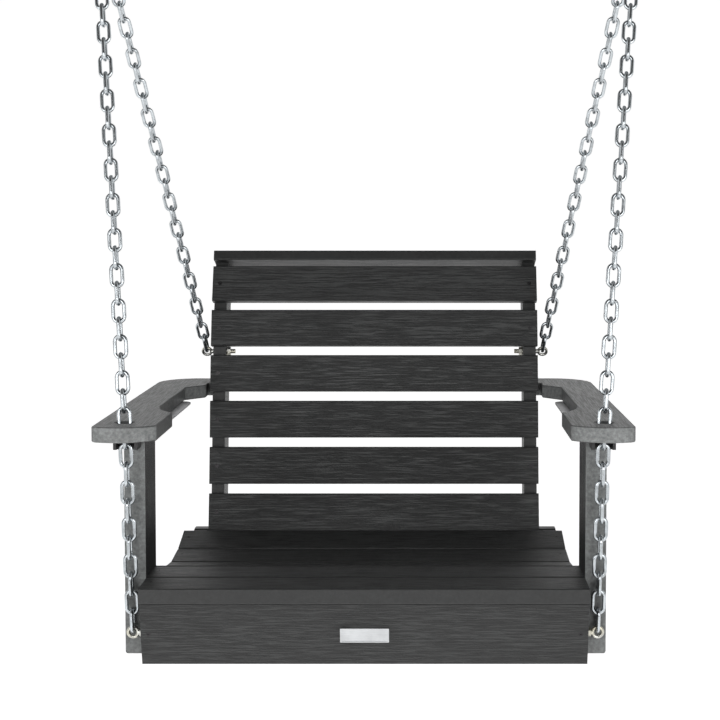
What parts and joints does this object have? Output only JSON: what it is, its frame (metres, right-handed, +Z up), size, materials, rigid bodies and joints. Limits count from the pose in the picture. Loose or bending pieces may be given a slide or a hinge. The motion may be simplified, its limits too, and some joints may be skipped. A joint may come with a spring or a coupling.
{
  "type": "porch swing",
  "caption": "One-seat hanging porch swing of plastic lumber boards: scooped slatted seat, slatted back, broad arms, link chains and ceiling eyes.",
  "frame": {"origin": "midway between the two ceiling eyes, on the underside of the beam that they screw into", "axes": "+Z up; +Y from the seat's front to its back; +X to the right as seen from the front, along the axis it swings about"},
  "size_m": [0.836, 0.6767, 1.2876],
  "materials": {
    "lumber": "matte",
    "guide_black": "satin",
    "chain_zinc": "satin",
    "hardware_zinc": "satin",
    "screw_steel": "satin",
    "arm_plate_steel": "satin",
    "plate_metal": "satin"
  },
  "bodies": {
    "ceiling": {"ceiling_eye_left": "hardware_zinc", "ceiling_eye_right": "hardware_zinc"},
    "swing": {"apron_screws": "screw_steel", "arm_left": "lumber", "arm_plate_left": "arm_plate_steel", "arm_plate_right": "arm_plate_steel", "arm_post_left": "lumber", "arm_post_right": "lumber", "arm_right": "lumber", "arm_screws": "screw_steel", "back_screws": "screw_steel", "back_slat_1": "lumber", "back_slat_2": "lumber", "back_slat_3": "lumber", "back_slat_4": "lumber", "back_slat_5": "lumber", "back_slat_6": "lumber", "back_stile_left": "lumber", "back_stile_right": "lumber", "cap_screws": "screw_steel", "chain_front_lower_left": "chain_zinc", "chain_front_lower_right": "chain_zinc", "chain_front_upper_left": "chain_zinc", "chain_front_upper_right": "chain_zinc", "chain_guide_left": "guide_black", "chain_guide_right": "guide_black", "chain_rear_left": "chain_zinc", "chain_rear_right": "chain_zinc", "eyebolt_nuts": "hardware_zinc", "eyebolt_washers": "hardware_zinc", "front_apron": "lumber", "front_eyebolt_left": "hardware_zinc", "front_eyebolt_right": "hardware_zinc", "guide_screws": "screw_steel", "name_plate": "plate_metal", "nosing_slat": "lumber", "post_screws": "screw_steel", "rail_screws": "screw_steel", "rear_apron": "lumber", "rear_eyebolt_left": "hardware_zinc", "rear_eyebolt_right": "hardware_zinc", "rear_rail": "lumber", "seat_screws": "screw_steel", "seat_slat_2": "lumber", "seat_slat_3": "lumber", "seat_slat_4": "lumber", "seat_slat_5": "lumber", "seat_slat_6": "lumber", "side_frame_left": "lumber", "side_frame_right": "lumber", "top_cap": "lumber", "top_link_left": "hardware_zinc", "top_link_right": "hardware_zinc", "top_link_sleeves": "hardware_zinc"}
  },
  "joints": [
    {"name": "swing_hinge", "type": "hinge", "parent": "ceiling", "child": "swing", "pos_m": [0, 0, -0.034], "axis": [1, 0, 0], "range_deg": [-25, 25]}
  ]
}
